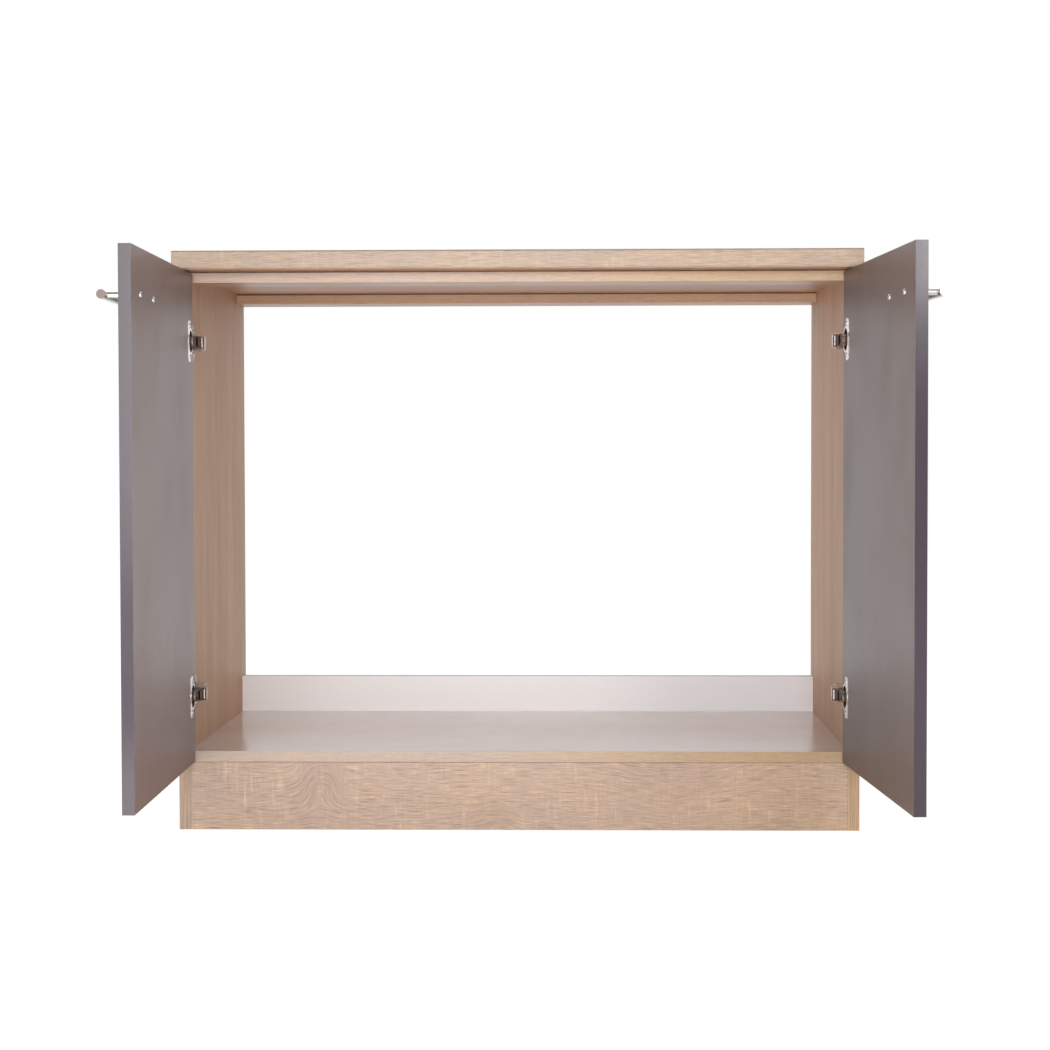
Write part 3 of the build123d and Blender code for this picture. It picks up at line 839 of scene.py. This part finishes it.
# The ends of the pieces' names, longer ones before shorter ones, with their finishes.
finish_endings = [
    ("front_rail_edging", "front_edging"),
    ("rear_rail_edging", "rear_edging"),
    ("_edging", "edging"),
    ("left_side_panel", "left_side"),
    ("right_side_panel", "right_side"),
    ("plinth_board", "plinth"),
    ("bottom_panel", "greige"),
    ("rail", "rail"),
    ("rear_board", "white"),
    ("left_door_panel", "left_door"),
    ("right_door_panel", "right_door"),
    ("worktop", "worktop"),
    ("panel_dowels", "dowel"),
    ("left_handle_bar", "left_handle"),
    ("left_handle_posts", "left_handle"),
    ("right_handle_bar", "right_handle"),
    ("right_handle_posts", "right_handle"),
    ("left_upper_cup", "left_cup"),
    ("left_lower_cup", "left_cup"),
    ("right_upper_cup", "right_cup"),
    ("right_lower_cup", "right_cup"),
    ("_arm", "plated"),
    ("mounting_plate", "plated"),
    ("_link", "link"),
]
# The radius of each finish's edges.
rounding = {
    "worktop": 0.0003,
    "edging": 0.0004,
    "front_edging": 0.0004,
    "rear_edging": 0.0004,
    "plinth": 0.0006,
    "left_side": 0.0005,
    "right_side": 0.0005,
    "greige": 0.0003,
    "rail": 0.0003,
    "white": 0.0005,
    "left_door": 0.0009,
    "right_door": 0.0009,
    "left_handle": 0.0005,
    "right_handle": 0.0005,
    "left_cup": 0.0003,
    "right_cup": 0.0003,
    "plated": 0.0003,
    "link": 0.0002,
    "zinc": 0.0002,
    "dowel": 0.0004,
}


def finish_for(node_name):
    """Which finish a piece of the cabinet has, from the end of its name; screws and pins are zinc."""
    for ending, finish in finish_endings:
        if node_name.endswith(ending):
            return finish
    return "zinc"


weld_distance = 0.000002
bevel_segments = 2
bevel_angle = radians(40)
flat_weight = 100


def soften_edges(piece, width):
    """Rounded edges, as the real boards and stampings have."""
    weld = piece.modifiers.new("weld", "WELD")
    weld.merge_threshold = weld_distance
    edges = piece.modifiers.new("rounded edges", "BEVEL")
    edges.width = width
    edges.segments = bevel_segments
    edges.limit_method = "ANGLE"
    edges.angle_limit = bevel_angle
    edges.use_clamp_overlap = True
    flat = piece.modifiers.new("flat faces", "WEIGHTED_NORMAL")
    flat.weight = flat_weight


def dress_nodes():
    """Give every piece its finish and its rounded edges."""
    for name, piece in nodes.items():
        finish = finish_for(name)
        piece.data.materials.clear()
        piece.data.materials.append(finishes[finish])
        soften_edges(piece, rounding[finish])


# ---------------------------------------------------------------- screws
head_segments = 24
shank_segments = 12
slot_reach = 0.62  # of the head's radius
slot_half_width = 0.13  # of the head's radius
slot_floor = (0.62, 0.75, 0.25)  # of the slot's reach and half width, and of the head's height
root_share = 0.72  # of the shank's radius, between the turns of the thread
pitch_share = 1.1  # of the shank's radius, from one turn of the thread to the next
sharp_angle = radians(35)
merge_distance = 0.000001

# The sizes of each screw: head radius, head height, shank radius, shank length.
ear_screw = (0.0034, 0.0012, 0.00175, 0.013)
wing_screw = (0.0038, 0.0020, 0.0020, 0.0142)
setting_screw = (0.0035, 0.0018, 0.0020, 0.0080)
handle_screw = (0.0040, 0.0022, 0.0020, 0.0250)
rail_screw = (0.0040, 0.0022, 0.0020, 0.0328)

# The seats of the screws: on a door from its swing axis, on a panel from its front edge.
ear_seats = [(0.022, 0.016, -0.0225), (0.022, 0.016, 0.0225)]
wing_seats = [(0.0022, 0.037, -0.016), (0.0022, 0.037, 0.016)]
arm_seats = [(0.0135, 0.048, 0), (0.0135, 0.062, 0)]
handle_level = 0.7565
handle_reaches = (0.424, 0.424 - 0.096)  # along the door to each post
rail_columns = (-0.400, 0.0, 0.400)
rail_rows = (0.040, 0.520)
rail_seat = 0.8062  # height of the seats, sunk in the undersides of the rails


def ring_of(bm, radius, height, count=head_segments):
    """A ring of points round the local axis."""
    return [bm.verts.new((radius * cos(2 * pi * i / count), radius * sin(2 * pi * i / count), height))
            for i in range(count)]


def skin(bm, lower, upper):
    """Faces between two rings with as many points."""
    count = len(lower)
    for i in range(count):
        j = (i + 1) % count
        bm.faces.new((lower[i], lower[j], upper[j], upper[i]))


def cross_outline(bm, reach, half_width, height):
    """The twelve corners of a cross slot."""
    quarter = [(reach, -half_width), (reach, half_width), (half_width, half_width)]
    corners = []
    for turn in range(4):
        c, s = cos(turn * pi / 2), sin(turn * pi / 2)
        corners += [bm.verts.new((c * x - s * y, s * x + c * y, height)) for x, y in quarter]
    return corners


def add_screw(bm, place, head_radius, head_height, shank_radius, shank_length):
    """One screw with a domed head and a cross slot; its axis is z and its seat is z = 0."""
    start = len(bm.verts)
    dome = [(1, 0), (1, 0.45), (0.93, 0.78), (0.78, 1)]  # shares of the head's radius and height
    rings = [ring_of(bm, radius * head_radius, height * head_height) for radius, height in dome]
    for lower, upper in zip(rings, rings[1:]):
        skin(bm, lower, upper)
    reach, half_width = slot_reach * head_radius, slot_half_width * head_radius
    mouth = cross_outline(bm, reach, half_width, head_height)
    in_reach, in_width, in_height = slot_floor
    floor = cross_outline(bm, in_reach * reach, in_width * half_width, in_height * head_height)
    skin(bm, list(reversed(mouth)), list(reversed(floor)))
    bm.faces.new(floor)
    edges = []
    for ring in (rings[-1], mouth):
        for pair in zip(ring, ring[1:] + ring[:1]):
            edges.append(bm.edges.get(pair) or bm.edges.new(pair))
    bmesh.ops.triangle_fill(bm, use_beauty=True, use_dissolve=False, edges=edges)
    turns = max(4, int(shank_length / (pitch_share * shank_radius)))
    shank = []
    for step in range(turns + 1):
        level = -shank_length * step / turns
        for share in (root_share, 1.0) if 0 < step < turns else (root_share,):
            shank.append(ring_of(bm, shank_radius * share, level, shank_segments))
    neck = ring_of(bm, root_share * shank_radius, 0, shank_segments)
    skin(bm, list(reversed(neck)), list(reversed(shank[0])))
    for lower, upper in zip(shank, shank[1:]):
        skin(bm, list(reversed(lower)), list(reversed(upper)))
    bm.faces.new(shank[-1])
    bm.faces.new(list(reversed(rings[0])))
    bm.verts.ensure_lookup_table()
    bmesh.ops.transform(bm, matrix=place, verts=bm.verts[start:])


def along_axis(point, direction):
    """A frame at a point with its z along a direction."""
    return Matrix.Translation(point) @ Vector(direction).to_track_quat("Z", "Y").to_matrix().to_4x4()


def finish_piece(name, bm, finish, body, replaced):
    """Turn mesh work into a named piece that rides on a body and stands for some nodes."""
    bmesh.ops.remove_doubles(bm, verts=bm.verts, dist=merge_distance)
    bmesh.ops.recalc_face_normals(bm, faces=bm.faces)
    mesh = bpy.data.meshes.new(name)
    bm.to_mesh(mesh)
    bm.free()
    mesh.materials.append(finishes[finish])
    mesh.shade_smooth()
    mesh.set_sharp_from_angle(angle=sharp_angle)
    piece = bpy.data.objects.new(name, mesh)
    bpy.context.scene.collection.objects.link(piece)
    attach(piece, body)
    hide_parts(*replaced)


def screw_row(name, node, body, places, sizes):
    """A set of screws that stands for one node."""
    bm = bmesh.new()
    for place in places:
        add_screw(bm, place, *sizes)
    finish_piece(name, bm, "zinc", body, [node])


def hinge_screws(name, door_body, side, height):
    """The screws of one hinge: two in the cup's ears, two in the plate and two in the arm."""
    door = door_frame(side, height)
    panel = panel_frame(side, height)
    into_cabinet = door_axes(side)[1]
    off_panel = Vector((-side, 0, 0))
    ears = [along_axis(door @ Vector(seat), into_cabinet) for seat in ear_seats]
    wings = [along_axis(panel @ Vector(seat), off_panel) for seat in wing_seats]
    arm = [along_axis(panel @ Vector(seat), off_panel) for seat in arm_seats]
    screw_row(f"{name}_ear_screws", f"{name}_cup_screws", door_body, ears, ear_screw)
    screw_row(f"{name}_wing_screws", f"{name}_plate_screws", "carcass", wings, wing_screw)
    screw_row(f"{name}_setting_screws", f"{name}_arm_screws", "carcass", arm, setting_screw)


def handle_fixings(name, door_body, side):
    """The two screws of a handle, on the inner face of its door."""
    inward = door_axes(side)[1]
    door = door_frame(side, handle_level)
    seats = [along_axis(door @ Vector((reach, inner_face, 0)), inward) for reach in handle_reaches]
    screw_row(f"{name}_handle_fixings", f"{name}_handle_screws", door_body, seats, handle_screw)


def rail_fixings():
    """The screws that hold the worktop, sunk in the undersides of the rails."""
    down = (0, 0, -1)
    seats = [along_axis((x, y, rail_seat), down) for x in rail_columns for y in rail_rows]
    screw_row("rail_fixings", "worktop_screws", "carcass", seats, rail_screw)


def add_fittings():
    """Every screw of the cabinet."""
    for name, side in sides.items():
        door_body = f"{name}_door"
        handle_fixings(name, door_body, side)
        for level_name, height in hinge_levels.items():
            hinge_screws(f"{name}_{level_name}", door_body, side, height)
    rail_fixings()


# ---------------------------------------------------------------- studio
floor_half = 9.0
floor_drop = 0.0005
floor_tone = (0.86, 0.86, 0.86, 1)
floor_roughness = 0.9
floor_glow = 1.25
floor_glow_share = 0.75  # of what the camera and reflections see of the floor
white_light = (1, 1, 1, 1)


def seen_directly(tree):
    """The light path's outputs, and one where the camera sees a surface itself."""
    path = add_node(tree, "ShaderNodeLightPath").outputs
    return path, maths(tree, "MAXIMUM", path["Is Camera Ray"], path["Is Transmission Ray"])


def studio_floor():
    """A plain pale floor that shows as white but keeps the cabinet's soft shadow."""
    mesh = bpy.data.meshes.new("floor")
    corners = [(x * floor_half, y * floor_half, 0) for x, y in ((-1, -1), (1, -1), (1, 1), (-1, 1))]
    mesh.from_pydata(corners, [], [(0, 1, 2, 3)])
    floor = bpy.data.objects.new("floor", mesh)
    floor.location.z = -floor_drop
    bpy.context.scene.collection.objects.link(floor)
    material, tree, shader = new_material("floor")
    shader.inputs["Base Color"].default_value = floor_tone
    shader.inputs["Roughness"].default_value = floor_roughness
    path, seen = seen_directly(tree)
    seen = maths(tree, "MAXIMUM", seen, path["Is Glossy Ray"])
    glow = add_node(tree, "ShaderNodeEmission", {"Color": white_light, "Strength": floor_glow})
    share = maths(tree, "MULTIPLY", seen, floor_glow_share)
    inputs = {0: share, 1: shader.outputs[0], 2: glow.outputs[0]}
    mixed = add_node(tree, "ShaderNodeMixShader", inputs)
    tree.links.new(mixed.outputs[0], tree.nodes["Material Output"].inputs[0])
    floor.data.materials.append(material)


def area_lamp(name, place, target, size, radiance):
    """A large soft white lamp aimed at a point, set by the brightness of its face."""
    lamp = bpy.data.lights.new(name, "AREA")
    lamp.shape = "RECTANGLE"
    lamp.size, lamp.size_y = size
    lamp.energy = radiance * size[0] * size[1] * pi
    holder = bpy.data.objects.new(name, lamp)
    bpy.context.scene.collection.objects.link(holder)
    holder.location = place
    holder.visible_camera = False
    direction = Vector(target) - Vector(place)
    holder.rotation_euler = direction.to_track_quat("-Z", "Y").to_euler()


world_fill = 0.36  # the light from all round
world_front = 0.2  # what reflections show of the surround in front of the cabinet
world_rear = 1.0  # and what they show behind it
world_rear_start = 0.6  # the share of the way to the rear where that is reached
# Each lamp: its name, place, target, size and radiance.
lamps = [
    ("middle_box", (-0.25, -4.3, 1.15), (0, 0, 0.4), (1.6, 1.8), 7.8),
    ("left_box", (-1.5, -4.3, 1.2), (0, 0, 0.4), (0.9, 2.2), 2.4),
    ("right_box", (1.65, -4.2, 1.45), (0, 0, 0.4), (0.5, 0.9), 13.0),
    ("front_top_box", (0.7, -2.4, 3.0), (0, -0.4, 0.4), (2.4, 1.6), 1.3),
    ("overhead_box", (0.0, 0.5, 3.4), (0, 0.4, 0.8), (1.6, 1.2), 2.4),
    ("rear_box", (0.0, 2.6, 2.4), (0, 0, 0.4), (3.0, 2.0), 1.2),
    ("floor_card", (-0.38, -1.3, 0.003), (-0.38, -1.3, 1.0), (1.4, 1.2), 3.1),
]


def studio_light():
    """Soft light from the front and above, with an even white surround."""
    world = bpy.data.worlds.new("surround")
    bpy.context.scene.world = world
    world.use_nodes = True
    tree = world.node_tree
    tree.nodes.clear()
    path, seen = seen_directly(tree)
    direction = add_node(tree, "ShaderNodeTexCoord").outputs["Generated"]
    mirrored = add_node(tree, "ShaderNodeMapRange", {
        "Value": axes_of(tree, direction)["Y"],
        "From Min": 0.0,
        "From Max": world_rear_start,
        "To Min": world_front,
        "To Max": world_rear,
    }).outputs["Result"]
    change = maths(tree, "SUBTRACT", mirrored, world_fill)
    level = maths(tree, "MULTIPLY_ADD", path["Is Glossy Ray"], change, world_fill)
    strength = maths(tree, "MAXIMUM", level, seen)
    sky = add_node(tree, "ShaderNodeBackground", {"Color": white_light, "Strength": strength})
    out = add_node(tree, "ShaderNodeOutputWorld")
    tree.links.new(sky.outputs[0], out.inputs[0])
    for lamp in lamps:
        area_lamp(*lamp)


add_camera()
dress_nodes()
add_fittings()
studio_floor()
studio_light()
bpy.context.scene.view_settings.view_transform = "Standard"
